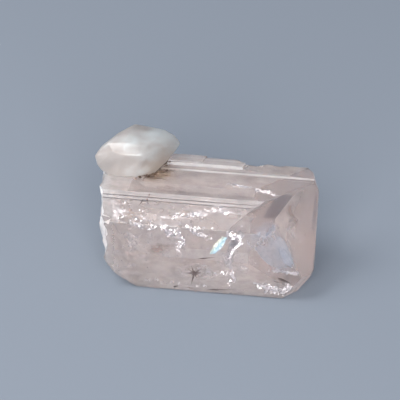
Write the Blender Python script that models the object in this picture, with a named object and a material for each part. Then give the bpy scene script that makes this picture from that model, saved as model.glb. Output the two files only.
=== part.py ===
"""A danburite crystal: a clear, pale pink prism lying on one of its sides, and a smaller milky crystal grown across
the top of its broken end.

Written for Blender 4.5. Every length below is in millimetres, and the mesh is scaled to metres when it is placed.
The prism's long axis, the mineral's c axis, runs along X. Its termination points to +X, its broken end to -X, and the
surface that it lies on is Z = 0. While the shape is made, Y is 0 at the lower front edge; at the end it is moved so
that the origin is at the middle of its base.
"""

import math

import bmesh
import bpy
from mathutils import Matrix, Vector, noise

MM = 0.001

# Slopes in the prism's cross-section, in degrees above the horizontal, going from the front over the top.
# The mineral's prism faces meet at 95 and 85 degrees, so the front leans back by 5 while the top lies level.
FRONT_SLOPE = 85.0
BEVEL_SLOPE = 42.5
SHOULDER_SLOPE = 17.0
TOP_SLOPE = 0.0
AXIS_A_RISE = 47.5

# Widths of the prism's faces, going up the front and back over the top.
FRONT_WIDTH = 10.25
BEVEL_WIDTH = 2.6
SHOULDER_WIDTH = 4.9
TOP_WIDTH = 5.0
BACK_LEDGE_RISE = 0.26
BACK_STRIP_WIDTH = 3.3
BACK_STEPS = ((2.6, 0.22), (3.4, 0.30), (2.2, 0.18))
LOWER_BACK_BEVEL = (1.3, 1.2)

# The overgrowth: growth layers that stand proud of the bevel and the shoulder, left of a slanting end.
LAYER_THICKNESS = 0.10
LAYER_SETBACK = 0.10
LAYER_BEVEL_WIDTH = 3.7
LAYER_STEPS = ((0.32, 0.36), (0.32, 0.30), (0.06, 0.34))
LAYER_TERRACE = 6.84
LAYER_ROOTS = ((0.1, -1.2), (1.2, -0.6))
LAYER_END_X = 2.4
LAYER_END_NORMAL = (0.70, -0.68, -0.22)

# The raised plate along the back of the top, as (height, setback, end) for each of its two lengths.
PLATE_START = 1.1
PLATE_TOP_WIDTH = 2.0
PLATE_FOOT = (0.6, 0.2, 0.3)
PLATE_END_NORMAL = (0.95, -0.20, 0.25)
PLATE_LENGTHS = ((0.50, 0.0, 2.9), (0.64, 0.3, -3.4))

# Places along the length.
BEVEL_END_X = 9.35
RIDGE_BELOW_BEVEL = 5.9
RIDGE_TURN = 0.05
TERMINATION_ANGLE = 44.0
CORNER_FACES = (
    ((10.9, 0.0, 0.0), 47.0),
    ((14.6, 0.3, 4.3), 24.0),
)
UPPER_END_POINT = (14.95, 11.4, 12.0)
UPPER_END_NORMAL = (0.84, 0.16, 0.40)
BLANK_HALF_LENGTH = 24.0
MIDDLE_OF_DEPTH = 7.5
MIDDLE_OF_HEIGHT = 9.0
BASE_MIDDLE = (-1.901, 8.194, 0.0)

# The broken end: where it is, its lean, the block that cuts it, and how fine and how deep each of its ripples is.
BROKEN_END_X = -15.45
BROKEN_END_LEAN = 0.29
LEAN_STOPS_AT = 8.5
BROKEN_BLOCK = (26.0, 24.0, 16.0)
BROKEN_CELLS = (32, 30)
BROKEN_BROAD, BROKEN_RIPPLE, BROKEN_SPLINTER = (0.16, 1.1), (0.55, 0.5), (0.9, 0.3)

# The fracture under the broken end, which lifts it clear of the surface.
LIFT_BLOCK = (14.0, 24.0, 4.0)
LIFT_CELLS = (28, 22)
LIFT_RIPPLE_SCALE = (0.5, 0.35)
LIFT_RIPPLE_DEPTH = 0.5
LIFT_RIPPLE_EASES_OVER = 2.0
LIFT_CLEARANCE = 0.12
LIFT_START_X = -9.3
LIFT_RADIUS = 7.5
HEEL_CENTRE = (-12.6, 5.8)
HEEL_RADIUS = 3.9
HEEL_REACH = 2.0
LIFT_MIDDLE = (-15.5, 8.0)

# The smaller crystal's corners: its underside, its middle, the ridge that faces the front, and its top.
SMALL_CORNERS = (
    (-15.9, 9.3, 12.8), (-13.0, 9.5, 12.8), (-10.6, 10.9, 13.0), (-9.6, 15.6, 13.2), (-16.4, 15.0, 13.2),
    (-18.1, 9.5, 14.1), (-18.7, 9.5, 15.0), (-19.1, 9.9, 16.2), (-18.6, 13.4, 16.2), (-8.6, 11.8, 14.9),
    (-7.0, 12.8, 16.9), (-6.6, 13.6, 17.5), (-7.7, 14.8, 18.1), (-7.9, 15.6, 16.0), (-17.0, 15.4, 15.6),
    (-16.0, 8.5, 18.0), (-14.3, 8.1, 17.8), (-11.8, 8.1, 17.9), (-11.0, 8.6, 17.2), (-18.3, 10.5, 17.4),
    (-17.0, 9.8, 18.7), (-14.5, 9.5, 19.1), (-12.5, 9.3, 18.9), (-10.9, 9.6, 18.9), (-8.5, 10.8, 18.2),
    (-16.0, 13.2, 18.7), (-13.8, 15.1, 19.4), (-12.0, 15.1, 19.3), (-9.3, 15.1, 18.8),
)
SMALL_FLAT_WITHIN = 9.0
SMALL_EDGE_ROUND = 0.28

# Chips knocked off the edges, as (place, size).
CHIPS = (
    ((-12.1, 0.85, 10.3), 0.42),
    ((-4.9, 0.85, 10.3), 0.30),
    ((1.0, 3.5, 12.8), 0.30),
    ((-8.4, 3.5, 12.8), 0.34),
    ((4.3, 15.9, 14.1), 1.5),
    ((7.8, 16.0, 13.9), 0.8),
    ((11.4, 16.1, 13.7), 0.4),
    ((9.3, 1.7, 11.2), 0.28),
    ((12.4, 0.3, 5.3), 0.30),
    ((3.2, 0.0, 0.1), 0.30),
    ((-0.9, 15.6, 14.4), 0.45),
    ((-5.6, 15.7, 14.6), 0.4),
    ((-16.8, 1.1, 10.5), 1.35),
)


def direction(degrees):
    """The unit vector in the cross-section, as (y, z), at this angle above the horizontal."""
    return Vector((math.cos(math.radians(degrees)), math.sin(math.radians(degrees))))


AXIS_C = Vector((1, 0, 0))
AXIS_A = Vector((0, -math.cos(math.radians(AXIS_A_RISE)), math.sin(math.radians(AXIS_A_RISE))))
AXIS_B = Vector((0, math.sin(math.radians(AXIS_A_RISE)), math.cos(math.radians(AXIS_A_RISE))))


def tilted(angle, towards):
    """The normal of a face that leans from the c axis by this angle towards another axis."""
    return AXIS_C * math.cos(math.radians(angle)) + towards * math.sin(math.radians(angle))


def walked(start, runs):
    """The corners passed on going from start along runs of (slope, width)."""
    corners = [start]
    for slope, width in runs:
        corners.append(corners[-1] + direction(slope) * width)
    return corners


def prism_section():
    """The prism's cross-section as (y, z) corners, from the lower front edge up the front and over the top."""
    corners = walked(
        Vector((0, 0)),
        [
            (FRONT_SLOPE, FRONT_WIDTH),
            (BEVEL_SLOPE, BEVEL_WIDTH),
            (SHOULDER_SLOPE, SHOULDER_WIDTH),
            (TOP_SLOPE, TOP_WIDTH),
            (BEVEL_SLOPE, BACK_LEDGE_RISE),
            (TOP_SLOPE, BACK_STRIP_WIDTH),
        ],
    )
    down = FRONT_SLOPE - 180
    for fall, step in BACK_STEPS:
        corners = corners[:-1] + walked(corners[-1], [(down, fall), (TOP_SLOPE, step)])
    rise, run = LOWER_BACK_BEVEL
    low = corners[-1] + direction(down) * ((corners[-1].y - rise) / math.sin(math.radians(FRONT_SLOPE)))
    return corners + [low, Vector((low.x - run, 0))]


def extruded(section, x_from, x_to):
    """A bmesh of the section, drawn out along X."""
    bm = bmesh.new()
    end = bm.faces.new([bm.verts.new((x_from, y, z)) for y, z in section])
    drawn = bmesh.ops.extrude_face_region(bm, geom=[end])
    moved = [g for g in drawn["geom"] if isinstance(g, bmesh.types.BMVert)]
    bmesh.ops.translate(bm, verts=moved, vec=(x_to - x_from, 0, 0))
    bmesh.ops.recalc_face_normals(bm, faces=bm.faces)
    return bm


def cut(bm, point, normal):
    """Takes off what lies outside the plane and closes the solid with a new flat face."""
    everything = bm.verts[:] + bm.edges[:] + bm.faces[:]
    bmesh.ops.bisect_plane(
        bm, geom=everything, dist=1e-5, plane_co=point, plane_no=normal, clear_outer=True
    )
    rim = [e for e in bm.edges if e.is_boundary]
    if rim:
        bmesh.ops.triangle_fill(bm, edges=rim, use_beauty=True, use_dissolve=True, normal=normal)
        bmesh.ops.recalc_face_normals(bm, faces=bm.faces)


def main_prism():
    """The clear prism with its termination: two roof faces that meet in a ridge, and the smaller corner faces."""
    section = prism_section()
    bm = extruded(section, -BLANK_HALF_LENGTH, BLANK_HALF_LENGTH)
    bevel_top = section[2]
    apex = Vector((BEVEL_END_X, bevel_top.x, bevel_top.y))
    rise = RIDGE_BELOW_BEVEL * math.tan(math.radians(TERMINATION_ANGLE))
    ridge = apex - AXIS_A * RIDGE_BELOW_BEVEL + AXIS_C * rise
    cut(bm, apex, tilted(TERMINATION_ANGLE, AXIS_A))
    cut(bm, ridge, tilted(TERMINATION_ANGLE, -AXIS_A) + AXIS_B * RIDGE_TURN)
    for point, angle in CORNER_FACES:
        cut(bm, point, tilted(angle, -AXIS_B))
    cut(bm, UPPER_END_POINT, Vector(UPPER_END_NORMAL).normalized())
    return bm


def overgrowth():
    """The growth layers over the bevel and the front of the top, with their ledges and slanting end."""
    section = prism_section()
    out_of_bevel = direction(BEVEL_SLOPE + 90)
    foot = section[1] + direction(BEVEL_SLOPE) * LAYER_SETBACK
    runs = [(BEVEL_SLOPE, LAYER_BEVEL_WIDTH - LAYER_SETBACK)]
    for tread, riser in LAYER_STEPS:
        runs += [(TOP_SLOPE, tread), (BEVEL_SLOPE, riser)]
    runs.append((TOP_SLOPE, LAYER_TERRACE))
    outer = [foot] + walked(foot + out_of_bevel * LAYER_THICKNESS, runs)
    back_foot = outer[-1] + Vector(LAYER_ROOTS[0])
    inner = foot + Vector(LAYER_ROOTS[1])
    bm = extruded(outer + [back_foot, inner], -BLANK_HALF_LENGTH, BLANK_HALF_LENGTH)
    cut(bm, (LAYER_END_X, section[1].x, section[1].y), Vector(LAYER_END_NORMAL).normalized())
    return bm


def back_plate():
    """The raised plate on the back of the top, in two lengths of unlike height."""
    section = prism_section()
    level = section[6].y
    sunk, front_slant, back_slant = PLATE_FOOT
    pieces = []
    for height, setback, end in PLATE_LENGTHS:
        front = section[5].x + PLATE_START + setback
        outline = [
            (front - front_slant, level - sunk),
            (front, level + height),
            (front + PLATE_TOP_WIDTH, level + height),
            (front + PLATE_TOP_WIDTH + back_slant, level - sunk),
        ]
        bm = extruded([Vector(p) for p in outline], -BLANK_HALF_LENGTH, end + 1.0)
        cut(bm, (end, front, level + height), Vector(PLATE_END_NORMAL).normalized())
        pieces.append(bm)
    return pieces


def rough_block(length, width, cells, depth, height_at):
    """A solid whose upper side follows height_at(x, y), for cutting or for breaking a surface."""
    bm = bmesh.new()
    grid = bmesh.ops.create_grid(bm, x_segments=cells[0], y_segments=cells[1], size=0.5)
    bmesh.ops.scale(bm, verts=grid["verts"], vec=(length, width, 1))
    drawn = bmesh.ops.extrude_face_region(bm, geom=bm.faces[:])
    lower = [g for g in drawn["geom"] if isinstance(g, bmesh.types.BMVert)]
    upper = [v for v in bm.verts if v not in set(lower)]
    bmesh.ops.translate(bm, verts=lower, vec=(0, 0, -depth))
    for vert in upper:
        vert.co.z += height_at(vert.co.x, vert.co.y)
    bmesh.ops.recalc_face_normals(bm, faces=bm.faces)
    return bm


def broken_end():
    """The cutter for the broken end: shell-shaped hollows and small splinters, on a face that leans back."""

    def height_at(u, v):
        place = Vector((u, v, 0))
        broad = noise.noise(place * BROKEN_BROAD[0] + Vector((0, 0, 3.1))) * BROKEN_BROAD[1]
        ripple = noise.noise(place * BROKEN_RIPPLE[0] + Vector((0, 0, 8.4))) * BROKEN_RIPPLE[1]
        splinter = noise.cell(place * BROKEN_SPLINTER[0] + Vector((0, 0, 1.7))) * BROKEN_SPLINTER[1]
        return broad + ripple + splinter - BROKEN_END_LEAN * min(u + MIDDLE_OF_DEPTH, LEAN_STOPS_AT)

    length, width, depth = BROKEN_BLOCK
    bm = rough_block(length, width, BROKEN_CELLS, depth, height_at)
    turn = Matrix.Rotation(math.radians(90), 4, "Z") @ Matrix.Rotation(math.radians(90), 4, "X")
    bmesh.ops.transform(bm, matrix=turn, verts=bm.verts)
    bmesh.ops.translate(bm, verts=bm.verts, vec=(BROKEN_END_X, MIDDLE_OF_DEPTH, MIDDLE_OF_HEIGHT))
    return bm


def under_fracture():
    """The cutter for the hollow break beneath the broken end."""

    def height_at(u, v):
        x = LIFT_MIDDLE[0] + u
        lift_run = min(max(LIFT_START_X - x, 0.0), LIFT_RADIUS * 0.98)
        lift = LIFT_RADIUS - math.sqrt(LIFT_RADIUS**2 - lift_run**2)
        heel_run = min(max(HEEL_CENTRE[0] - x, 0.0), HEEL_RADIUS * 0.999)
        heel = HEEL_CENTRE[1] - math.sqrt(HEEL_RADIUS**2 - heel_run**2)
        if x > HEEL_CENTRE[0] - HEEL_REACH:
            heel = 0.0
        rise = max(lift, heel)
        ripple = noise.noise(Vector((u * LIFT_RIPPLE_SCALE[0], v * LIFT_RIPPLE_SCALE[1], 5.2))) * LIFT_RIPPLE_DEPTH
        return rise + ripple * min(1.0, lift_run / LIFT_RIPPLE_EASES_OVER) - LIFT_CLEARANCE * (lift_run <= 0.0)

    length, width, depth = LIFT_BLOCK
    bm = rough_block(length, width, LIFT_CELLS, depth, height_at)
    bmesh.ops.translate(bm, verts=bm.verts, vec=(*LIFT_MIDDLE, 0.0))
    return bm


def chips():
    """Small flattened lumps that take chips off the edges."""
    bm = bmesh.new()
    for count, (place, size) in enumerate(CHIPS):
        made = bmesh.ops.create_icosphere(bm, subdivisions=1, radius=size)
        stretch = Matrix.Diagonal((1.5 + 0.3 * (count % 3), 0.8, 0.7, 1.0))
        turn = Matrix.Rotation(0.9 * count + 0.4, 4, "X") @ Matrix.Rotation(0.25 * (count % 4), 4, "Z")
        bmesh.ops.transform(bm, matrix=Matrix.Translation(place) @ turn @ stretch, verts=made["verts"])
    return bm


def small_crystal():
    """The milky crystal: a short, blunt prism that lies across the main one, with softened edges."""
    bm = bmesh.new()
    for corner in SMALL_CORNERS:
        bm.verts.new(corner)
    hull = bmesh.ops.convex_hull(bm, input=bm.verts)
    spare = [v for v in hull["geom_interior"] + hull["geom_unused"] if isinstance(v, bmesh.types.BMVert)]
    bmesh.ops.delete(bm, geom=list(set(spare)), context="VERTS")
    bmesh.ops.dissolve_limit(
        bm, angle_limit=math.radians(SMALL_FLAT_WITHIN), verts=bm.verts, edges=bm.edges
    )
    bmesh.ops.bevel(
        bm, geom=bm.edges[:], offset=SMALL_EDGE_ROUND, segments=2, profile=0.5, affect="EDGES",
        material=-1, clamp_overlap=True,
    )
    bmesh.ops.recalc_face_normals(bm, faces=bm.faces)
    return bm


def placed(name, bm, helper=True):
    """Makes an object of the bmesh, in metres, and hides it if it only shapes another."""
    bmesh.ops.triangulate(bm, faces=[f for f in bm.faces if len(f.verts) > 4])
    mesh = bpy.data.meshes.new(name)
    bm.to_mesh(mesh)
    bm.free()
    mesh.transform(Matrix.Scale(MM, 4) @ Matrix.Translation(-Vector(BASE_MIDDLE)))
    obj = bpy.data.objects.new(name, mesh)
    bpy.context.scene.collection.objects.link(obj)
    if helper:
        obj.hide_render = True
        obj.display_type = "WIRE"
    return obj


def shape_with(obj, helper, operation):
    modifier = obj.modifiers.new(helper.name, "BOOLEAN")
    modifier.operation = operation
    modifier.object = helper
    modifier.solver = "EXACT"


def crystal_material():
    material = bpy.data.materials.new("clear pale pink danburite")
    material.use_nodes = True
    shader = material.node_tree.nodes["Principled BSDF"]
    shader.inputs["Base Color"].default_value = (0.80, 0.70, 0.69, 1)
    shader.inputs["Roughness"].default_value = 0.08
    shader.inputs["Metallic"].default_value = 0.0
    shader.inputs["IOR"].default_value = 1.633
    shader.inputs["Transmission Weight"].default_value = 0.85
    return material


def main():
    for obj in list(bpy.data.objects):
        bpy.data.objects.remove(obj)
    crystal = placed("danburite_crystal", main_prism(), helper=False)
    crystal.data.materials.append(crystal_material())
    shape_with(crystal, placed("overgrowth", overgrowth()), "UNION")
    for number, plate in enumerate(back_plate(), 1):
        shape_with(crystal, placed(f"back_plate_{number}", plate), "UNION")
    shape_with(crystal, placed("broken_end_cutter", broken_end()), "DIFFERENCE")
    shape_with(crystal, placed("under_fracture_cutter", under_fracture()), "DIFFERENCE")
    shape_with(crystal, placed("chip_cutters", chips()), "DIFFERENCE")
    shape_with(crystal, placed("small_crystal", small_crystal()), "UNION")


main()
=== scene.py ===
"""Danburite: a clear, pale pink crystal with a small milky crystal grown across its broken end.

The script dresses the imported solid: it copies the crystal's mesh, gives it its natural faces, adds the
fractures, veils and specks that are seen inside it, and sets a plain studio round it.
"""

import math
import random

import bmesh
import bpy
from bpy.props import FloatProperty, FloatVectorProperty, PointerProperty
from mathutils import Matrix, Quaternion, Vector, noise
from mathutils.bvhtree import BVHTree


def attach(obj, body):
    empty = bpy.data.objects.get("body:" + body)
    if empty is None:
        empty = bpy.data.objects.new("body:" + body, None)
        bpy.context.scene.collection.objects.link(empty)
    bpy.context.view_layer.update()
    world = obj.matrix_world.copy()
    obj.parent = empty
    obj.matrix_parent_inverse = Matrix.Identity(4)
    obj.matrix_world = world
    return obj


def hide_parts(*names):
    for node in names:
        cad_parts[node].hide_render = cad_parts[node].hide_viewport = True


bl_info = {
    "name": "Danburite Crystal",
    "version": (1, 0, 0),
    "blender": (4, 5, 0),
    "location": "3D View > Sidebar > Danburite",
    "description": "A clear pink danburite crystal with its fractures and veils, on a plain studio floor",
    "category": "Add Mesh",
}

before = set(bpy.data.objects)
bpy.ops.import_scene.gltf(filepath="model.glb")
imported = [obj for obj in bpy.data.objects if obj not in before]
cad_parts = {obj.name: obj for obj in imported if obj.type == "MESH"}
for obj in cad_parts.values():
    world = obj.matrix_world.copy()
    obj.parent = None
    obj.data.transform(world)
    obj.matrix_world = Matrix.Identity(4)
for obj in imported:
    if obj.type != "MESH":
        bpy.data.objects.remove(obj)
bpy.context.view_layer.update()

MM = 0.001
NODE = "danburite_crystal"


def linear(colour):
    """An sRGB hex colour as linear red, green, blue and alpha."""
    values = [int(colour[i : i + 2], 16) / 255 for i in (1, 3, 5)]
    return [v / 12.92 if v <= 0.04045 else ((v + 0.055) / 1.055) ** 2.4 for v in values] + [1.0]


def add_node(tree, kind, inputs=None, **settings):
    """Adds a node, sets its properties, and sets or links its inputs."""
    node = tree.nodes.new(kind)
    for name, value in settings.items():
        setattr(node, name, value)
    for key, value in (inputs or {}).items():
        if isinstance(value, bpy.types.NodeSocket):
            tree.links.new(value, node.inputs[key])
        else:
            node.inputs[key].default_value = value
    return node


def new_material(name):
    """An empty node material and its output node."""
    material = bpy.data.materials.new(name)
    material.use_nodes = True
    material.node_tree.nodes.clear()
    return material, material.node_tree, material.node_tree.nodes.new("ShaderNodeOutputMaterial")


def new_piece(name, bm, material):
    """Makes a piece of the bmesh, in metres, that rides on the crystal's body."""
    mesh = bpy.data.meshes.new(name)
    bm.to_mesh(mesh)
    bm.free()
    piece = bpy.data.objects.new(name, mesh)
    bpy.context.scene.collection.objects.link(piece)
    mesh.materials.append(material)
    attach(piece, "root")
    return piece


class DanburiteSizes(bpy.types.PropertyGroup):
    """Sizes that a user would change."""

    haze: FloatProperty(
        name="Haze", description="Share of light that the clear crystal scatters", default=0.06, min=0, max=1,
        subtype="FACTOR",
    )
    milk: FloatProperty(
        name="Milk", description="Share of light that the small crystal scatters", default=0.68, min=0, max=1,
        subtype="FACTOR",
    )
    camera_distance: FloatProperty(
        name="Camera Distance", description="From the crystal to the camera", default=0.4, unit="LENGTH"
    )
    field_width: FloatProperty(
        name="Field Width", description="Width of the view at the crystal", default=0.06, unit="LENGTH"
    )
    camera_azimuth: FloatProperty(
        name="Camera Azimuth", description="Turn of the camera towards the faceted end",
        default=math.radians(9), subtype="ANGLE", unit="ROTATION",
    )
    camera_elevation: FloatProperty(
        name="Camera Elevation", description="Height of the camera above the horizon",
        default=math.radians(30), subtype="ANGLE", unit="ROTATION",
    )


class DanburiteColours(bpy.types.PropertyGroup):
    """Colours that a user would change."""

    body: FloatVectorProperty(
        name="Body", description="Haze in the clear crystal", subtype="COLOR", size=4,
        default=linear("#efe9e6"),
    )
    milky: FloatVectorProperty(
        name="Milky", description="Haze in the small crystal", subtype="COLOR", size=4,
        default=linear("#c3bbb6"),
    )
    absorption: FloatVectorProperty(
        name="Absorption", description="Light left after a path through the crystal", subtype="COLOR", size=4,
        default=linear("#fff9f8"),
    )
    glint: FloatVectorProperty(
        name="Glint", description="Air-filled fractures", subtype="COLOR", size=4, default=linear("#fdfbff")
    )
    # the veils of this colour are partly iron stain and partly painted shade
    stain: FloatVectorProperty(
        name="Stain", description="Brownish pink veils", subtype="COLOR", size=4, default=linear("#a37f70")
    )
    # painted sheen: the colour of the veils that stand in for the bluish light inside the faceted end
    sheen: FloatVectorProperty(
        name="Sheen", description="Bluish sheen near the faceted end", subtype="COLOR", size=4,
        default=linear("#d3e2f8"),
    )
    cool: FloatVectorProperty(
        name="Cool", description="Clearer end of the small crystal", subtype="COLOR", size=4,
        default=linear("#e0e6e6"),
    )
    rust: FloatVectorProperty(
        name="Rust", description="Thin stain round the joint of the small crystal", subtype="COLOR", size=4,
        default=linear("#bfa88c"),
    )
    # painted shade: the colour of the veil that darkens the far edge of the end face
    dusk: FloatVectorProperty(
        name="Dusk", description="Shaded strip at the edge of the end face", subtype="COLOR", size=4,
        default=linear("#6a7084"),
    )
    # painted shade: the colour that the shade attribute mixes into faces that look darker where the crystal's
    # dark side is seen through them
    shaded: FloatVectorProperty(
        name="Shaded", description="Faces through which the crystal's dark side is seen", subtype="COLOR",
        size=4, default=linear("#8a92a0"),
    )
    floor: FloatVectorProperty(
        name="Floor", description="Pale grey-blue studio floor", subtype="COLOR", size=4,
        default=linear("#828993"),
    )


# in metres, how near doubles are merged and points count as on a cut; and the angle within which faces count
# as one flat face
SAME_POINT = 2e-7
ON_CUT = 1e-7
SAME_FACE = math.radians(0.3)


def packed_mesh():
    """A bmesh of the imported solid, with its loose triangles merged and its flat faces made whole."""
    bm = bmesh.new()
    bm.from_mesh(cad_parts[NODE].data)
    bmesh.ops.remove_doubles(bm, verts=bm.verts, dist=SAME_POINT)
    bmesh.ops.dissolve_limit(bm, angle_limit=SAME_FACE, verts=bm.verts, edges=bm.edges)
    bmesh.ops.triangulate(bm, faces=bm.faces, quad_method="BEAUTY", ngon_method="BEAUTY")
    return bm


# an edge that turns inward by more than this, in radians, is the joint of the two crystals
CREASE = -0.02


def mark_small_crystal(bm):
    """Returns the small crystal's faces: all that are reached from its top without crossing a crease."""
    start = max(bm.faces, key=lambda f: f.calc_center_median().z)
    found, todo = {start}, [start]
    while todo:
        for edge in todo.pop().edges:
            for face in edge.link_faces:
                if face not in found and edge.calc_face_angle_signed(0) > CREASE:
                    found.add(face)
                    todo.append(face)
    return found


# danburite's refractive index
IOR = 1.633
# scales of the patterns, per metre: clouds 3.8 mm across, frosty grain 0.8 mm across, and lines of growth
# 55 mm long and 0.45 mm wide, which is coarser than the real ones so that they show
CLOUD_SCALE = 260.0
GRAIN_SCALE = 1300.0
LINE_SCALE = (18.0, 2200.0, 2200.0)
# how high the lines of growth stand, and how far light wanders in the milky crystal, in metres
LINE_RELIEF = 0.00002
SCATTER = 0.0015
# the middle of the rusty patch at the joint of the small crystal, and from where to where it thins out, in
# metres, on a distance that the clouds make up to RUST_RAGGED longer
RUST_MIDDLE = (-0.0076, 0.0026, 0.0136)
RUST_RAGGED = 0.008
RUST_THINS = 0.0044, 0.0078
# x between which the frosty weathering fades away from the broken end, in metres
WEATHERING = -0.0152, -0.0118
# the small crystal turns cool and clear as x + UPWARD z grows through these, in metres
UPWARD = 1.6
COOLING = 0.0160, 0.0230
CLEARING = 0.0165, 0.0230


def crystal_material(sizes, colours):
    """Danburite with natural crystal faces.

    It is clear and faintly pink, so that the floor and the flaws inside are seen through it. Lines of growth
    run along it, the broken, back and lower faces are frosted, and the small crystal is milky.
    """
    material, tree, out = new_material("danburite, natural crystal faces")
    place = add_node(tree, "ShaderNodeTexCoord").outputs["Object"]
    milky, frost, shade, lined = (
        add_node(tree, "ShaderNodeAttribute", attribute_name=name).outputs["Fac"]
        for name in ("milky", "frost", "shade", "lined")
    )
    spot = add_node(tree, "ShaderNodeSeparateXYZ", {0: place}).outputs
    upper = add_node(
        tree, "ShaderNodeMath", {0: spot[2], 1: UPWARD, 2: spot[0]}, operation="MULTIPLY_ADD"
    ).outputs[0]
    clouds = add_node(
        tree, "ShaderNodeTexNoise", {"Vector": place, "Scale": CLOUD_SCALE, "Detail": 5.0, "Roughness": 0.6}
    ).outputs["Fac"]

    # the lines of growth: a low relief, with hazy streaks between them
    along = add_node(tree, "ShaderNodeMapping", {"Vector": place, "Scale": LINE_SCALE}).outputs[0]
    lines = add_node(
        tree, "ShaderNodeTexNoise", {"Vector": along, "Scale": 1.0, "Detail": 3.0}
    ).outputs["Fac"]
    relief = add_node(
        tree, "ShaderNodeBump", {"Strength": lined, "Distance": LINE_RELIEF, "Height": lines}
    ).outputs[0]
    streaks = add_node(
        tree, "ShaderNodeMapRange", {"Value": lines, "From Min": 0.45, "From Max": 0.75}
    ).outputs[0]
    streaks = add_node(tree, "ShaderNodeMath", {0: streaks, 1: lined}, operation="MULTIPLY").outputs[0]

    # the frosty weathering at the broken end fades out along the crystal
    grain = add_node(
        tree, "ShaderNodeTexNoise", {"Vector": place, "Scale": GRAIN_SCALE, "Detail": 3.0, "Roughness": 0.6}
    ).outputs["Fac"]
    worn = add_node(tree, "ShaderNodeMapRange", {
        "Value": spot[0], "From Min": WEATHERING[0], "From Max": WEATHERING[1], "To Min": 1.0, "To Max": 0.0,
    }).outputs[0]
    worn = add_node(tree, "ShaderNodeMath", {0: worn, 1: grain}, operation="MULTIPLY").outputs[0]
    patches = add_node(
        tree, "ShaderNodeMapRange", {"Value": clouds, "From Min": 0.35, "From Max": 0.65, "To Min": 0.55}
    ).outputs[0]
    frosted = add_node(tree, "ShaderNodeMath", {0: frost, 1: patches}, operation="MULTIPLY").outputs[0]
    for part, share, clamp in ((streaks, 0.15, False), (worn, 0.40, True)):
        frosted = add_node(
            tree, "ShaderNodeMath", {0: part, 1: share, 2: frosted}, operation="MULTIPLY_ADD", use_clamp=clamp
        ).outputs[0]

    # rust has crept out of the joint, over the prism more than over the small crystal
    off = add_node(
        tree, "ShaderNodeVectorMath", {0: place, 1: RUST_MIDDLE}, operation="DISTANCE"
    ).outputs["Value"]
    off = add_node(
        tree, "ShaderNodeMath", {0: clouds, 1: RUST_RAGGED, 2: off}, operation="MULTIPLY_ADD"
    ).outputs[0]
    rusty = add_node(tree, "ShaderNodeMapRange", {
        "Value": off, "From Min": RUST_THINS[0], "From Max": RUST_THINS[1], "To Min": 1.0, "To Max": 0.0,
    }).outputs[0]
    open_face = add_node(
        tree, "ShaderNodeMath", {0: milky, 1: -0.65, 2: 1.0}, operation="MULTIPLY_ADD"
    ).outputs[0]
    rusty = add_node(tree, "ShaderNodeMath", {0: rusty, 1: open_face}, operation="MULTIPLY").outputs[0]

    # the colour: the prism's or the small crystal's, with the cool and rusty places, and painted shade on
    # faces where the dark side is seen
    cool = add_node(tree, "ShaderNodeMapRange", {
        "Value": upper, "From Min": COOLING[0], "From Max": COOLING[1], "To Max": 0.9,
    }).outputs[0]
    cool = add_node(tree, "ShaderNodeMath", {0: clouds, 1: 2.2, 2: cool}, operation="MULTIPLY_ADD").outputs[0]
    cool = add_node(
        tree, "ShaderNodeMath", {0: cool, 1: 1.08}, operation="SUBTRACT", use_clamp=True
    ).outputs[0]
    cool = add_node(tree, "ShaderNodeMath", {0: cool, 1: milky}, operation="MULTIPLY").outputs[0]
    colour = colours.body
    for share, other in (
        (milky, colours.milky), (cool, colours.cool), (shade, colours.shaded), (rusty, colours.rust),
    ):
        colour = add_node(
            tree, "ShaderNodeMix", {"Factor": share, 6: colour, 7: other}, data_type="RGBA"
        ).outputs[2]

    # what isn't scattered by haze or milk, frost or rust passes through
    milk = add_node(tree, "ShaderNodeMapRange", {
        "Value": upper, "From Min": CLEARING[0], "From Max": CLEARING[1],
        "To Min": sizes.milk, "To Max": sizes.milk * 0.50,
    }).outputs[0]
    mottled = add_node(tree, "ShaderNodeMapRange", {
        "Value": clouds, "From Min": 0.3, "From Max": 0.7, "To Min": 0.62, "To Max": 1.22,
    }).outputs[0]
    milk = add_node(tree, "ShaderNodeMath", {0: milk, 1: mottled}, operation="MULTIPLY").outputs[0]
    haze = add_node(
        tree, "ShaderNodeMix", {"Factor": milky, 2: sizes.haze, 3: milk}, data_type="FLOAT"
    ).outputs[0]
    covered = add_node(
        tree, "ShaderNodeMath", {0: rusty, 1: 0.10, 2: frosted}, operation="MULTIPLY_ADD", use_clamp=True
    ).outputs[0]
    clear = 1.0
    for part in (haze, covered):
        left = add_node(tree, "ShaderNodeMath", {0: 1.0, 1: part}, operation="SUBTRACT").outputs[0]
        clear = add_node(tree, "ShaderNodeMath", {0: clear, 1: left}, operation="MULTIPLY").outputs[0]

    # polished faces are nearly smooth, frosted and milky ones a little rough
    rough = add_node(tree, "ShaderNodeMath", {0: milky, 1: frosted}, operation="MAXIMUM").outputs[0]
    rough = add_node(
        tree, "ShaderNodeMath", {0: rough, 1: 0.26, 2: 0.04}, operation="MULTIPLY_ADD"
    ).outputs[0]
    rough = add_node(
        tree, "ShaderNodeMath", {0: milky, 1: 0.02, 2: rough}, operation="MULTIPLY_ADD"
    ).outputs[0]
    shader = add_node(tree, "ShaderNodeBsdfPrincipled", {
        "Base Color": colour, "Roughness": rough, "IOR": IOR, "Transmission Weight": clear, "Normal": relief,
        "Subsurface Weight": 1.0, "Subsurface Radius": (1.0, 0.95, 0.9), "Subsurface Scale": SCATTER,
    })
    volume = add_node(tree, "ShaderNodeVolumeAbsorption", {"Color": colours.absorption, "Density": 60.0})
    tree.links.new(shader.outputs[0], out.inputs["Surface"])
    tree.links.new(volume.outputs[0], out.inputs["Volume"])
    return material
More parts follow.
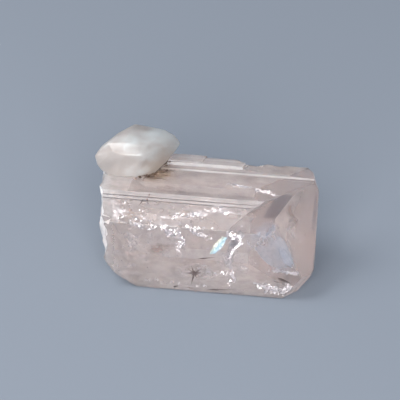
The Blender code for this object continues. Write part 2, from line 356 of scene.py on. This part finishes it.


# how frosted each kind of face is, how much painted shade darkens it, and how strongly it carries the lines
# of growth
# the painted shade darkens the tread lines, the dark corner face, the bare bevel and the other faces
LOOKS = {
    "broken": (0.75, 0.0, 0.0), "back": (0.80, 0.0, 0.0), "bottom": (0.80, 0.0, 0.0),
    "bevel": (0.08, 0.0, 0.12), "riser": (0.24, 0.0, 0.4), "tread": (0.0, 0.50, 0.2),
    "dark": (0.0, 0.8, 0.0), "top": (0.03, 0.0, 0.15), "rim": (0.40, 0.0, 0.3),
    "plate": (0.14, 0.0, 0.5), "weathered": (0.20, 0.0, 0.2), "bare": (0.0, 0.22, 0.05),
    "other": (0.01, 0.12, 0.02),
}

# a point on the slanting end of the growth layers and the way it faces, in mm
LAYER_END = Vector((4.30, -7.30, 10.21)), Vector((0.70, -0.68, -0.22)).normalized()
# cuts in the copy where a look ends without a ledge: height of the level they cut, point, direction, in mm
LOOK_EDGES = (
    (13.46, (-11.2, -0.8, 13.46), (1.0, -0.03, 0.0)),
    (12.50, (10.2, -2.6, 12.6), (0.97, -0.25, 0.0)),
)
# how upright the normals of the flat levels, the bevel and the dark corner face are
LEVEL, BEVEL, CORNER = 0.99, 0.737, 0.956
# where the weathered part of the top ends, in mm
WEATHERED_X = -11.2


def kind_of(face):
    """Which kind of natural face this is, from where it lies, in mm, and the way it faces."""
    centre, normal = face.calc_center_median() / MM, face.normal
    layered = (centre - LAYER_END[0]).dot(LAYER_END[1]) < 0
    if centre.x < -13.5 and normal.x < -0.3:
        return "broken"
    if normal.y > 0.6:
        return "back"
    if normal.z < -0.5:
        return "bottom"
    if abs(normal.z - BEVEL) < 0.02 and normal.y < 0:
        if centre.y > 4:
            return "rim"
        if not layered:
            return "bare"
        return "bevel" if centre.y < -4.78 else "riser"
    if centre.y > 4.5 and centre.z > 13.5 and centre.x < 6:
        return "plate"
    if normal.z > LEVEL and 12.5 < centre.z < 13.1 and centre.y < -3:
        return "tread"
    if abs(normal.z - CORNER) < 0.02 and centre.x > 9.8:
        return "dark"
    if normal.z > LEVEL:
        return "weathered" if centre.x < WEATHERED_X else "top"
    return "other"


# edges of the small crystal that are blunter than this look worn smooth
SOFT_EDGE = math.radians(44)


class DANBURITE_OT_crystals(bpy.types.Operator):
    """The clear prism and the small milky crystal, in one grown piece"""

    bl_idname = "danburite.crystals"
    bl_label = "Grown Crystals"

    def execute(self, context):
        scene = context.scene
        bm = packed_mesh()
        # the layers come first, because faces that are held when one is added no longer match the mesh's
        milky = bm.faces.layers.float.new("milky")
        layers = [bm.faces.layers.float.new(name) for name in ("frost", "shade", "lined")]
        for level, point, across in LOOK_EDGES:
            flat = []
            for face in bm.faces:
                centre = face.calc_center_median() / MM
                if abs(centre.z - level) < 0.7 and centre.y < 4.5 and face.normal.z > 0.9:
                    flat.append(face)
            parts = {part for face in flat for part in (face, *face.edges, *face.verts)}
            bmesh.ops.bisect_plane(
                bm, geom=list(parts), dist=ON_CUT, plane_co=Vector(point) * MM, plane_no=across
            )
        small = mark_small_crystal(bm)
        if not 40 < len(small) < len(bm.faces):
            raise RuntimeError("the small crystal's faces weren't found")
        for face in small:
            face.smooth = True
        for edge in bm.edges:
            blunt = abs(edge.calc_face_angle(0)) < SOFT_EDGE
            edge.smooth = blunt and all(face in small for face in edge.link_faces)
        for face in bm.faces:
            face[milky] = float(face in small)
            look = (0.0, 0.0, 0.0) if face in small else LOOKS[kind_of(face)]
            for layer, value in zip(layers, look):
                face[layer] = value
        material = crystal_material(scene.danburite_sizes, scene.danburite_colours)
        crystals = new_piece("grown_crystals", bm, material)
        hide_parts(NODE)
        return {"FINISHED"}


# the faces that the inner features lie behind: a point on each, in mm, and the ways along and up it
FRONT = Vector((0, -8.194, 0)), Vector((1, 0, 0)), Vector((0, 0.087, 0.996))
SLOPE = Vector((0, -7.369, 10.285)), Vector((1, 0, 0)), Vector((0, 0.737, 0.676))
TOP = Vector((0, -3.5, 13.46)), Vector((1, 0, 0)), Vector((0, 1, 0))
END = Vector((11.25, -5.384, 11.97)), Vector((0.694, 0.486, -0.530)), Vector((0, 0.737, 0.676))
# the same, with the way that a fracture behind the face faces: the glints throw the fill light out through it
# to the camera, the rest throw other light, and "end flat" lies parallel to the end face
BEHIND = {
    "front": (*FRONT, Vector((-0.10, -0.71, 0.69))),
    "front right": (*FRONT, Vector((0.75, -0.21, 0.62))),
    "front low": (*FRONT, Vector((-0.13, -0.88, 0.45))),
    "front glint": (*FRONT, Vector((0.068, -0.942, 0.329))),
    "bevel": (*SLOPE, Vector((-0.105, -0.638, 0.763))),
    "bevel glint": (*SLOPE, Vector((0.068, -0.801, 0.595))),
    "top": (*TOP, Vector((-0.121, -0.316, 0.941))),
    "top glint": (*TOP, Vector((0.068, -0.531, 0.845))),
    "end": (*END, Vector((-0.533, -0.839, -0.112))),
    "end flat": (*END, Vector((0.719, -0.469, 0.511))),
}


def inside(face, across, rise, depth):
    """A point that lies behind a face, from the ways along and up it and the depth, all in mm."""
    corner, along, up, _ = BEHIND[face]
    return corner + along * across + up * rise - along.cross(up) * depth


def add_sheet(bm, face, start, end, depth, width, cells, crumple, cover, seed, turned=0.0):
    """Adds a crumpled sheet with a ragged edge and holes behind a face, along the line from start to end.

    Sizes are in mm. Turned is how far the line itself is turned to throw the light back: 0 not at all, 1 in
    full. The mesh's "fade" layer falls from 1 to 0 towards the edge of the sheet.
    """
    start, end, facing = inside(face, *start, depth), inside(face, *end, depth), BEHIND[face][3]
    half = (end - start) / 2
    half -= facing * half.dot(facing) * turned
    side = facing.cross(half).normalized() * width / 2
    normal = half.cross(side).normalized()
    middle = (start + end) / 2
    made = bmesh.ops.create_grid(bm, x_segments=cells[0], y_segments=cells[1], size=1.0)["verts"]
    faces = {face for vert in made for face in vert.link_faces}
    holes = set()
    for face in faces:
        spot = face.calc_center_median()
        worn = 0.9 * noise.noise(Vector((spot.x * half.length * 1.7, spot.y * width, seed)))
        if spot.x ** 2 + spot.y ** 2 + worn > cover:
            holes.add(face)
    fade = bm.verts.layers.float["fade"]
    for vert in made:
        across = vert.co.copy()
        vert[fade] = max(0.0, min(1.0, (cover - across.x ** 2 - across.y ** 2) / 0.6))
        sway = noise.noise(across * 2.3 + Vector((seed, 0, 0)))
        sway += 0.5 * noise.noise(across * 7.1 + Vector((0, seed, 0)))
        vert.co = (middle + half * across.x + side * across.y + normal * crumple * sway) * MM
    bmesh.ops.triangulate(bm, faces=list(faces - holes), quad_method="ALTERNATE")
    bmesh.ops.delete(bm, geom=list(holes), context="FACES")


# air-filled fractures: face, start, end, depth, width, cells, crumple, cover, seed
BRIGHT_FRACTURES = (
    ("front", (4.4, 9.4), (6.4, 7.6), 1.5, 1.5, (20, 16), 0.34, 0.50, 1.0),
    ("front", (5.4, 9.7), (4.5, 6.6), 1.4, 0.6, (24, 6), 0.26, 0.60, 2.0),
    ("front", (4.3, 6.2), (5.0, 4.2), 1.5, 0.5, (16, 5), 0.22, 0.60, 3.0),
    ("front", (5.0, 4.2), (5.5, 1.4), 1.5, 0.6, (20, 6), 0.22, 0.45, 4.0),
    ("front", (-5.4, 9.5), (-3.0, 7.8), 1.2, 1.5, (22, 14), 0.34, 0.45, 5.0),
    ("front", (-2.6, 9.2), (-2.4, 6.4), 1.6, 1.1, (20, 10), 0.30, 0.45, 6.0),
    ("front", (-1.6, 9.8), (1.0, 8.6), 1.2, 0.7, (20, 7), 0.28, 0.50, 7.0),
    ("front", (-9.8, 10.1), (-8.2, 9.4), 0.8, 0.6, (16, 7), 0.22, 0.50, 8.0),
    ("front", (9.4, 1.7), (13.6, 0.8), 0.5, 1.4, (32, 12), 0.30, 0.45, 9.0),
    ("front", (11.0, 4.3), (15.2, 4.1), 0.7, 0.20, (24, 2), 0.10, 1.20, 10.0),
    ("front", (7.2, 8.9), (7.7, 8.0), 1.2, 0.4, (6, 4), 0.16, 0.80, 16.0),
    ("bevel", (-1.4, 2.2), (-0.2, 2.5), 0.5, 0.5, (14, 6), 0.14, 0.70, 12.0),
    ("bevel", (3.7, 3.35), (5.4, 2.8), 0.4, 0.16, (12, 2), 0.05, 1.20, 13.0),
    ("bevel", (1.4, 3.9), (3.3, 4.0), 0.4, 0.35, (18, 4), 0.14, 0.60, 14.0),
    ("top", (3.4, 5.1), (6.4, 4.4), 0.5, 0.5, (22, 4), 0.12, 0.80, 15.0),
)

# veils, thin and brownish pink, partly iron stain and partly painted shade: the same measures
STAIN_AND_SHADE_VEILS = (
    ("front", (-3.2, 3.6), (2.2, 2.2), 1.9, 3.2, (16, 12), 0.4, 0.9, 31.0),
    ("front", (-9.5, 5.4), (-3.0, 6.4), 2.4, 2.6, (16, 10), 0.4, 0.8, 32.0),
    # painted shade: a warm shadow at the right end of the bevel
    ("bevel", (2.2, 0.5), (5.2, 0.9), 0.5, 1.1, (10, 6), 0.1, 1.0, 33.0),
    ("end flat", (2.0, 2.6), (7.0, 1.2), 0.5, 4.0, (30, 24), 0.1, 1.1, 38.0),
    ("end flat", (5.6, 0.4), (7.6, -1.0), 0.4, 2.0, (22, 18), 0.1, 1.0, 39.0),
    ("top", (-8.8, 7.0), (-4.4, 8.8), 0.12, 2.6, (12, 8), 0.02, 0.9, 36.0),
    ("top", (-8.4, 6.6), (-5.0, 8.6), 0.18, 1.6, (16, 10), 0.02, 1.3, 44.0),
    ("top", (-8.4, 6.6), (-5.0, 8.6), 0.26, 1.8, (16, 10), 0.02, 1.2, 45.0),
    ("top", (-9.6, 4.8), (-6.0, 5.6), 0.20, 2.2, (24, 14), 0.02, 1.3, 46.0),
    ("top", (-9.2, 5.2), (-6.4, 6.0), 0.12, 1.8, (24, 14), 0.02, 1.3, 48.0),
    ("top", (-9.0, 5.2), (-6.6, 6.0), 0.28, 1.8, (24, 14), 0.02, 1.3, 49.0),
    ("top", (-10.0, 2.4), (-1.0, 2.2), 0.8, 2.2, (16, 6), 0.3, 0.8, 37.0),
)

# a painted bluish sheen inside the end of the crystal: pale blue veils standing in for the light seen there
PAINTED_SHEENS = (
    ("front", (7.4, 10.8), (14.0, 4.4), 0.9, 5.0, (60, 40), 0.10, 1.05, 41.0),
    ("bevel", (8.4, -0.2), (11.4, 2.0), 0.7, 2.4, (40, 20), 0.05, 1.10, 47.0),
    ("front", (11.9, 8.2), (14.4, 4.6), 0.6, 1.3, (30, 10), 0.06, 1.00, 42.0),
)

# painted shade along the far edge of the end face: dark veils where the dark side is seen; the same measures
PAINTED_SHADE_VEILS = (
    ("end flat", (7.8, 5.8), (7.8, 0.4), 0.40, 1.0, (24, 12), 0.01, 1.8, 43.0),
)

# strings of small glinting shards: face, their path, depth, spread, how many, size
SHARDS = (
    ("front glint", ((4.4, 9.7), (5.6, 9.4), (6.5, 9.3), (6.0, 8.0), (5.3, 7.2), (4.8, 6.0)),
     0.5, 0.10, 225, 0.27),
    ("front glint", ((4.6, 9.2), (6.2, 9.6)), 0.7, 0.20, 90, 0.23),
    ("front glint", ((5.8, 7.8), (6.9, 8.4)), 0.7, 0.12, 36, 0.20),
    ("front glint", ((9.0, 1.6), (11.0, 1.3), (13.6, 0.8), (13.9, 1.9)), 0.6, 0.60, 135, 0.27),
    ("front glint", ((-5.8, 9.9), (-3.4, 9.4), (-2.4, 8.0), (-3.2, 6.4)), 1.0, 0.40, 105, 0.20),
    ("front glint", ((2.4, 2.8), (5.4, 3.4), (4.6, 0.9)), 1.0, 0.50, 54, 0.20),
    ("bevel glint", ((-9.6, 0.5), (-4.6, 1.7), (-1.8, 2.2), (0.2, 2.5), (2.4, 3.4), (4.0, 3.1)),
     0.4, 0.50, 165, 0.22),
    ("bevel glint", ((-1.8, 2.2), (0.2, 2.5)), 0.4, 0.20, 60, 0.31),
    ("bevel glint", ((-13.2, 4.7), (-11.8, 4.5), (-12.4, 3.8)), 0.3, 0.30, 54, 0.20),
    ("bevel glint", ((-13.6, 2.8), (-11.8, 1.8), (-12.6, 0.6)), 0.3, 0.90, 90, 0.17),
    ("top glint", ((3.0, 4.9), (6.8, 4.2), (9.4, 3.4), (11.0, 2.4)), 0.4, 0.40, 90, 0.27),
    ("front low", ((4.4, 9.5), (5.6, 9.3), (6.6, 9.6)), 0.5, 0.22, 70, 0.44),
    ("front right",
     ((4.2, 9.6), (6.3, 9.6), (6.0, 8.9), (5.2, 7.6), (5.0, 6.9), (4.5, 5.2), (4.9, 4.1), (5.5, 1.4)),
     1.4, 0.45, 130, 0.42),
    ("front", ((6.3, 9.6), (5.1, 7.8), (4.4, 5.8)), 1.1, 0.14, 90, 0.60),
    ("front right", ((6.3, 9.6), (5.1, 7.8), (4.4, 5.8)), 1.1, 0.14, 90, 0.60),
    ("front", ((4.2, 9.6), (5.4, 9.1), (4.9, 8.0)), 1.3, 0.12, 36, 0.50),
    ("front", ((4.6, 5.6), (5.0, 4.1), (5.5, 1.4)), 1.3, 0.25, 40, 0.36),
    ("front", ((-5.8, 9.9), (-3.4, 9.4), (-2.4, 8.0), (-3.2, 6.4)), 1.3, 0.50, 110, 0.36),
    ("front", ((-1.8, 10.0), (0.2, 9.2), (1.4, 8.8)), 1.1, 0.40, 60, 0.36),
    ("front", ((-10.4, 10.1), (-8.4, 9.4), (-6.4, 9.9)), 0.8, 0.35, 50, 0.36),
    ("front low", ((9.0, 1.6), (11.0, 1.3), (13.6, 0.8), (13.9, 1.9)), 0.6, 0.75, 130, 0.46),
    ("front right", ((9.0, 1.6), (11.0, 1.3), (13.6, 0.8)), 0.6, 0.75, 50, 0.46),
    ("front low", ((10.6, 4.3), (14.8, 4.1)), 0.6, 0.10, 40, 0.50),
    ("front low", ((2.4, 2.8), (5.4, 3.4), (4.6, 0.9)), 1.2, 0.60, 40, 0.32),
    ("front low", ((-8.6, 1.2), (-4.0, 0.8), (8.0, 0.6)), 0.6, 0.40, 60, 0.30),
    ("front", ((-13.0, 6.0), (-8.0, 5.0), (-1.0, 7.0), (8.0, 6.0), (9.0, 9.0)), 1.6, 2.60, 120, 0.24),
    ("bevel", ((-9.6, 0.5), (-4.6, 1.7), (-0.2, 2.4), (2.4, 3.4), (4.0, 3.1)), 0.5, 0.60, 130, 0.32),
    ("bevel", ((-1.8, 2.2), (0.2, 2.5)), 0.4, 0.25, 40, 0.50),
    ("bevel", ((-14.2, 4.2), (-12.6, 2.6), (-12.2, 0.9)), 0.3, 0.90, 120, 0.36),
    ("bevel", ((-12.0, 2.0), (-6.0, 1.0), (3.0, 0.6)), 0.5, 1.60, 70, 0.24),
    ("top", ((3.0, 4.9), (6.8, 4.2), (9.4, 3.4), (11.0, 2.4)), 0.5, 0.50, 80, 0.42),
    ("top", ((-12.0, 2.0), (-4.0, 1.6), (8.0, 1.2)), 0.5, 1.50, 50, 0.26),
    ("end", ((0.6, -0.6), (1.6, -1.6), (4.6, -3.6)), 0.7, 0.25, 30, 0.36),
    ("end", ((2.0, 1.0), (5.0, 0.0), (6.5, -1.5)), 1.0, 1.60, 30, 0.26),
)

# thin hazy veils: the same measures
VEILS = (
    ("end flat", (1.6, 1.6), (6.6, -1.8), 0.7, 3.4, (30, 24), 0.1, 1.1, 26.0),
    ("end flat", (3.0, -2.0), (5.0, -4.4), 0.6, 2.0, (22, 16), 0.1, 1.1, 27.0),
    ("front", (-13.0, 6.4), (-6.0, 8.2), 2.6, 6.0, (24, 16), 0.8, 0.85, 21.0),
    ("front", (-8.0, 5.2), (-1.0, 6.6), 3.2, 6.0, (24, 16), 0.8, 0.85, 22.0),
    ("front", (-5.0, 2.4), (4.0, 2.8), 2.0, 3.4, (30, 10), 0.5, 0.85, 23.0),
    ("front", (2.0, 4.6), (9.0, 3.8), 3.0, 5.0, (24, 14), 0.8, 0.90, 24.0),
    ("front", (-13.5, 2.6), (-8.0, 2.2), 1.4, 3.4, (16, 10), 0.5, 0.85, 25.0),
)


def drop_outside(bm, skin, gap):
    """Takes away the faces that lie outside the crystal's skin or nearer to it than the gap, in mm."""
    outside = []
    for vert in bm.verts:
        spot, normal, _, _ = skin.find_nearest(vert.co)
        if (vert.co - spot).dot(normal) > -gap * MM:
            outside.extend(vert.link_faces)
    bmesh.ops.delete(bm, geom=list(set(outside)), context="FACES")


def add_shards(bm, face, path, depth, spread, count, size, chance):
    """Adds small glinting triangles, in mm, strewn along a path behind a face."""
    for _ in range(count):
        leg = chance.randrange(len(path) - 1)
        share = chance.random()
        start, end = path[leg], path[leg + 1]
        across = start[0] * (1 - share) + end[0] * share + chance.gauss(0, spread * 0.5)
        rise = start[1] * (1 - share) + end[1] * share + chance.gauss(0, spread * 0.5)
        spot = inside(face, across, rise, depth + chance.uniform(-0.25, 0.25))
        facing = (BEHIND[face][3] + Vector([chance.gauss(0, 0.12) for _ in range(3)])).normalized()
        side = facing.orthogonal().normalized()
        side.rotate(Quaternion(facing, chance.uniform(0, math.tau)))
        long = size * (0.4 + chance.random() ** 2 * 1.3)
        wide = long * chance.uniform(0.3, 0.8)
        corners = (spot - side * long / 2, spot + side * long / 2, spot + facing.cross(side) * wide)
        bm.faces.new([bm.verts.new(corner * MM) for corner in corners])


def fracture_material(colours):
    """An air-filled fracture, which throws back nearly all the light: crumpled white glints."""
    material, tree, out = new_material("air-filled fracture")
    shader = add_node(
        tree, "ShaderNodeBsdfPrincipled", {"Base Color": colours.glint, "Metallic": 0.65, "Roughness": 0.18}
    )
    tree.links.new(shader.outputs[0], out.inputs["Surface"])
    return material


def veil_material(name, colour, scale, most, least=0.0):
    """A thin haze in wisps, this many to the metre, thinner at its edge: veils of tiny bubbles or grains, of
    stain, and of painted shade and sheen.

    Least and most are how much light it holds back between and in the wisps.
    """
    material, tree, out = new_material(name)
    place = add_node(tree, "ShaderNodeTexCoord").outputs["Object"]
    wisps = add_node(
        tree, "ShaderNodeTexNoise", {"Vector": place, "Scale": scale, "Detail": 6.0, "Roughness": 0.68}
    ).outputs["Fac"]
    thin = add_node(tree, "ShaderNodeMapRange", {
        "Value": wisps, "From Min": 0.42, "From Max": 0.70, "To Min": least, "To Max": most,
    }).outputs[0]
    fade = add_node(tree, "ShaderNodeAttribute", attribute_name="fade").outputs["Fac"]
    thin = add_node(tree, "ShaderNodeMath", {0: thin, 1: fade}, operation="MULTIPLY").outputs[0]
    shader = add_node(
        tree, "ShaderNodeBsdfPrincipled", {"Base Color": colour, "Roughness": 0.6, "Alpha": thin}
    )
    tree.links.new(shader.outputs[0], out.inputs["Surface"])
    return material


# the flash's colours change across it, from its upper left to its lower right edge, as 400 x - 315 z + 1.6
# goes from 0 to 1, with x and z in metres
FLASH_SCALE = (400.0, 0.0, -315.0)
FLASH_START = (1.60, 0.0, 0.0)
FLASH_COLOURS = (
    (0.0, "#fffafa"), (0.22, "#fcfce6"), (0.38, "#dcfafa"),
    (0.56, "#bdeaff"), (0.76, "#ecf4ff"), (1.0, "#fffaff"),
)


def flash_material():
    """An air gap so thin that it shows interference colours: pale yellow, cyan and blue in near white."""
    material, tree, out = new_material("thin air gap with interference colours")
    place = add_node(tree, "ShaderNodeTexCoord").outputs["Object"]
    across = add_node(
        tree, "ShaderNodeMapping", {"Vector": place, "Scale": FLASH_SCALE, "Location": FLASH_START}
    ).outputs[0]
    spot = add_node(tree, "ShaderNodeSeparateXYZ", {0: across}).outputs
    total = add_node(tree, "ShaderNodeMath", {0: spot[0], 1: spot[2]}, operation="ADD").outputs[0]
    ramp = add_node(tree, "ShaderNodeValToRGB", {"Fac": total})
    band = ramp.color_ramp
    while len(band.elements) < len(FLASH_COLOURS):
        band.elements.new(0.5)
    for element, (position, colour) in zip(band.elements, FLASH_COLOURS):
        element.position = position
        element.color = linear(colour)
    shader = add_node(tree, "ShaderNodeBsdfPrincipled", {
        "Base Color": ramp.outputs["Color"], "Metallic": 0.5, "Roughness": 0.25,
    })
    tree.links.new(shader.outputs[0], out.inputs["Surface"])
    return material


def dark_material(name, colour, roughness):
    """A plain dark mineral or dirt, dull so that it reads as a speck in the clear crystal."""
    material, tree, out = new_material(name)
    shader = add_node(
        tree, "ShaderNodeBsdfPrincipled", {"Base Color": linear(colour), "Roughness": roughness}
    )
    tree.links.new(shader.outputs[0], out.inputs["Surface"])
    return material


# how far the fractures and veils stay below the crystal's faces, in mm
SKIN_GAP = 0.05
# the fracture that shows interference colours: the same measures as the bright ones, turned in full
FLASH = ("front glint", (1.9, 6.0), (4.1, 9.1), 1.0, 1.25, (64, 24), 0.06, 0.95, 30.0, 1.0)


class DANBURITE_OT_fractures(bpy.types.Operator):
    """Crumpled air-filled fractures, one with interference colours, and thin veils in the clear crystal"""

    bl_idname = "danburite.fractures"
    bl_label = "Fractures and Veils"

    def execute(self, context):
        colours = context.scene.danburite_colours
        crystals = packed_mesh()
        skin = BVHTree.FromBMesh(crystals)
        crystals.free()
        for name, sheets, material in (
            ("bright_fractures", BRIGHT_FRACTURES, fracture_material(colours)),
            # wisps of about 2.4, 3.3, 6.3 and 14 mm
            ("veils", VEILS, veil_material("veil of tiny bubbles", colours.glint, 420.0, 0.6)),
            ("stain_and_shade_veils", STAIN_AND_SHADE_VEILS, veil_material("veil of iron stain and painted shade", colours.stain, 300.0, 0.75)),
            ("painted_shade_veil", PAINTED_SHADE_VEILS, veil_material("veil of painted shade", colours.dusk, 160.0, 0.75, 0.4)),
            ("painted_bluish_sheen", PAINTED_SHEENS, veil_material("veil of painted bluish sheen", colours.sheen, 70.0, 0.7)),
            ("colour_flash", (FLASH,), flash_material()),
        ):
            bm = bmesh.new()
            bm.verts.layers.float.new("fade")
            for sheet in sheets:
                add_sheet(bm, *sheet)
            if sheets is BRIGHT_FRACTURES:
                chance = random.Random(11)
                for string in SHARDS:
                    add_shards(bm, *string, chance)
            drop_outside(bm, skin, SKIN_GAP)
            new_piece(name, bm, material)
        return {"FINISHED"}


def add_needle(bm, face, start, end, depth, width):
    """Adds a flat, tapered blade behind a face, in mm, widest near its start."""
    start, end, facing = inside(face, *start, depth), inside(face, *end, depth), BEHIND[face][3]
    line = end - start
    side = facing.cross(line).normalized() * width / 2
    deep = facing * width / 4
    belly = start + line * 0.3
    ring = [bm.verts.new(point * MM) for point in (start, belly + side, end, belly - side)]
    for tip, around in ((belly + deep, ring), (belly - deep, ring[::-1])):
        top = bm.verts.new(tip * MM)
        for i in range(4):
            bm.faces.new((around[i], around[(i + 1) % 4], top))


# the brown star: its middle, how deep it lies behind the front, and the width of its blades, in mm, and each
# blade's angle in degrees and length in mm
STAR_MIDDLE = (-0.5, 2.9)
STAR_DEPTH = 0.20
STAR_WIDTH = 0.25
STAR_BLADES = (
    (8, 1.3), (38, 1.5), (75, 0.7), (112, 1.3), (148, 1.2), (184, 1.5), (228, 0.7), (258, 2.0), (296, 1.0),
    (335, 0.8),
)
# dark flakes: face, start, end, depth, width
DARK_FLAKES = (
    ("front", (-0.1, 5.1), (2.7, 5.6), 1.0, 0.22),
    ("front", (1.1, 0.35), (5.8, 0.65), 0.3, 0.20),
    ("front", (-1.6, 0.35), (-0.2, 0.30), 0.4, 0.10),
    ("front", (-3.7, 0.30), (-2.8, 0.55), 0.3, 0.30),
    ("front", (11.9, 3.1), (14.1, 2.3), 0.8, 0.45),
    ("front", (11.3, 2.5), (12.6, 2.2), 0.8, 0.15),
    ("bevel", (-8.2, 4.3), (-8.0, 3.2), 0.2, 0.20),
    ("bevel", (-7.9, 5.0), (-8.0, 4.4), 0.2, 0.16),
    ("bevel", (-8.6, 4.2), (-9.3, 2.9), 0.3, 0.24),
)


class DANBURITE_OT_inclusions(bpy.types.Operator):
    """The brown star, the dark flakes and the fine dark cracks inside the clear crystal"""

    bl_idname = "danburite.inclusions"
    bl_label = "Inclusions"

    def execute(self, context):
        bm = bmesh.new()
        for degrees, length in STAR_BLADES:
            angle = math.radians(degrees)
            tip = (STAR_MIDDLE[0] + length * math.cos(angle), STAR_MIDDLE[1] + length * math.sin(angle))
            add_needle(bm, "front", STAR_MIDDLE, tip, STAR_DEPTH, STAR_WIDTH)
        for flake in DARK_FLAKES:
            add_needle(bm, *flake)
        new_piece("inclusions", bm, dark_material("dark brown mineral grains", "#43200c", 0.8))
        return {"FINISHED"}


# the dirt lies on the seam's part to the right of the first and in front of the second, in metres
DIRT_LEFT = -0.0108
DIRT_BACK = 0.0062
SPECKS = 190
# each speck is a squashed ball
SPECK_SHAPE = Matrix.Diagonal((1.4, 1.0, 0.6, 1.0))


class DANBURITE_OT_dirt(bpy.types.Operator):
    """Brown specks of dirt caught where the small crystal meets the prism"""

    bl_idname = "danburite.dirt"
    bl_label = "Dirt"

    def execute(self, context):
        crystals = packed_mesh()
        small = mark_small_crystal(crystals)
        seam = []
        for edge in crystals.edges:
            joint = sum(face in small for face in edge.link_faces) == 1
            spot = edge.verts[0].co
            if joint and spot.x > DIRT_LEFT and spot.y < DIRT_BACK:
                seam.append(edge)
        if not seam:
            raise RuntimeError("the seam of the small crystal wasn't found")
        chance = random.Random(5)
        bm = bmesh.new()
        for edge in chance.choices(seam, weights=[edge.calc_length() for edge in seam], k=SPECKS):
            spot = edge.verts[0].co.lerp(edge.verts[1].co, chance.random())
            spot += Vector((chance.uniform(-0.2, 1.5), chance.uniform(-1.3, 0.1), 0)) * MM * chance.random()
            size = (0.03 + 0.15 * chance.random() ** 3) * MM
            bmesh.ops.create_icosphere(
                bm, subdivisions=1, radius=size, matrix=Matrix.Translation(spot) @ SPECK_SHAPE
            )
        crystals.free()
        new_piece("dirt", bm, dark_material("brown dirt", "#3c2818", 0.9))
        return {"FINISHED"}


# soft lights: name, place and size in metres, watts
LIGHTS = (
    ("key_light", (-0.28, -0.06, 0.44), 0.34, 1.65),
    ("fill_light", (0.08, -0.87, 0.42), 0.70, 14.4),
)
# where the lights and the camera look, in mm
LIT = Vector((0, 0, 7))
SEEN = Vector((-0.749, -0.694, 11.4))
# the floor's half width and its gap below the crystal, in metres
FLOOR_HALF = 2.0
FLOOR_GAP = 0.0002
# light of the room: colour and strength
ROOM = "#d6e1f1", 0.47
# turns that light takes in the clear crystal
BOUNCES = 24


class DANBURITE_OT_studio(bpy.types.Operator):
    """Pale floor, a wide soft light by the camera, a smaller one from the upper left, and the camera"""

    bl_idname = "danburite.studio"
    bl_label = "Studio"

    def execute(self, context):
        scene = context.scene
        sizes, colours = scene.danburite_sizes, scene.danburite_colours
        bm = bmesh.new()
        bmesh.ops.create_grid(
            bm, x_segments=2, y_segments=2, size=FLOOR_HALF, matrix=Matrix.Translation((0, 0, -FLOOR_GAP))
        )
        mesh = bpy.data.meshes.new("floor")
        bm.to_mesh(mesh)
        bm.free()
        floor = bpy.data.objects.new("floor", mesh)
        scene.collection.objects.link(floor)
        material, tree, out = new_material("matt studio paper")
        paper = add_node(tree, "ShaderNodeBsdfPrincipled", {"Base Color": colours.floor, "Roughness": 0.9})
        tree.links.new(paper.outputs[0], out.inputs["Surface"])
        mesh.materials.append(material)

        world = bpy.data.worlds.new("soft studio")
        world.use_nodes = True
        background = world.node_tree.nodes["Background"]
        background.inputs["Color"].default_value = linear(ROOM[0])
        background.inputs["Strength"].default_value = ROOM[1]
        scene.world = world

        for name, place, size, watts in LIGHTS:
            lamp = bpy.data.lights.new(name, "AREA")
            lamp.size = size
            lamp.energy = watts
            light = bpy.data.objects.new(name, lamp)
            light.location = place
            light.rotation_euler = (LIT * MM - Vector(place)).to_track_quat("-Z", "Y").to_euler()
            scene.collection.objects.link(light)

        data = bpy.data.cameras.new("camera")
        camera = bpy.data.objects.new("camera", data)
        scene.collection.objects.link(camera)
        turn, rise = sizes.camera_azimuth, sizes.camera_elevation
        back = Vector((math.sin(turn) * math.cos(rise), -math.cos(turn) * math.cos(rise), math.sin(rise)))
        camera.location = SEEN * MM + back * sizes.camera_distance
        camera.rotation_mode = "QUATERNION"
        camera.rotation_quaternion = (-back).to_track_quat("-Z", "Y")
        data.sensor_width = 36
        data.lens = data.sensor_width * sizes.camera_distance / sizes.field_width
        data.clip_start = 0.01
        data.clip_end = 10
        scene.camera = camera

        scene.view_settings.view_transform = "Standard"
        scene.cycles.max_bounces = BOUNCES
        scene.cycles.transmission_bounces = BOUNCES
        scene.cycles.glossy_bounces = BOUNCES // 2
        scene.cycles.use_denoising = True
        return {"FINISHED"}


class DANBURITE_PT_panel(bpy.types.Panel):
    """Lists the crystal's makers, sizes and colours"""

    bl_idname = "DANBURITE_PT_panel"
    bl_label = "Danburite"
    bl_space_type = "VIEW_3D"
    bl_region_type = "UI"
    bl_category = "Danburite"

    def draw(self, context):
        for maker in MAKERS:
            self.layout.operator(maker.bl_idname)
        for group in (context.scene.danburite_sizes, context.scene.danburite_colours):
            for name in group.__annotations__:
                self.layout.prop(group, name)


MAKERS = (
    DANBURITE_OT_crystals, DANBURITE_OT_fractures, DANBURITE_OT_inclusions, DANBURITE_OT_dirt,
    DANBURITE_OT_studio,
)
CLASSES = (DanburiteSizes, DanburiteColours, *MAKERS, DANBURITE_PT_panel)


def register():
    for cls in CLASSES:
        bpy.utils.register_class(cls)
    bpy.types.Scene.danburite_sizes = PointerProperty(type=DanburiteSizes)
    bpy.types.Scene.danburite_colours = PointerProperty(type=DanburiteColours)


def unregister():
    del bpy.types.Scene.danburite_colours
    del bpy.types.Scene.danburite_sizes
    for cls in reversed(CLASSES):
        bpy.utils.unregister_class(cls)


def main():
    register()
    bpy.ops.danburite.crystals()
    bpy.ops.danburite.fractures()
    bpy.ops.danburite.inclusions()
    bpy.ops.danburite.dirt()
    bpy.ops.danburite.studio()


if __name__ == "__main__":
    main()
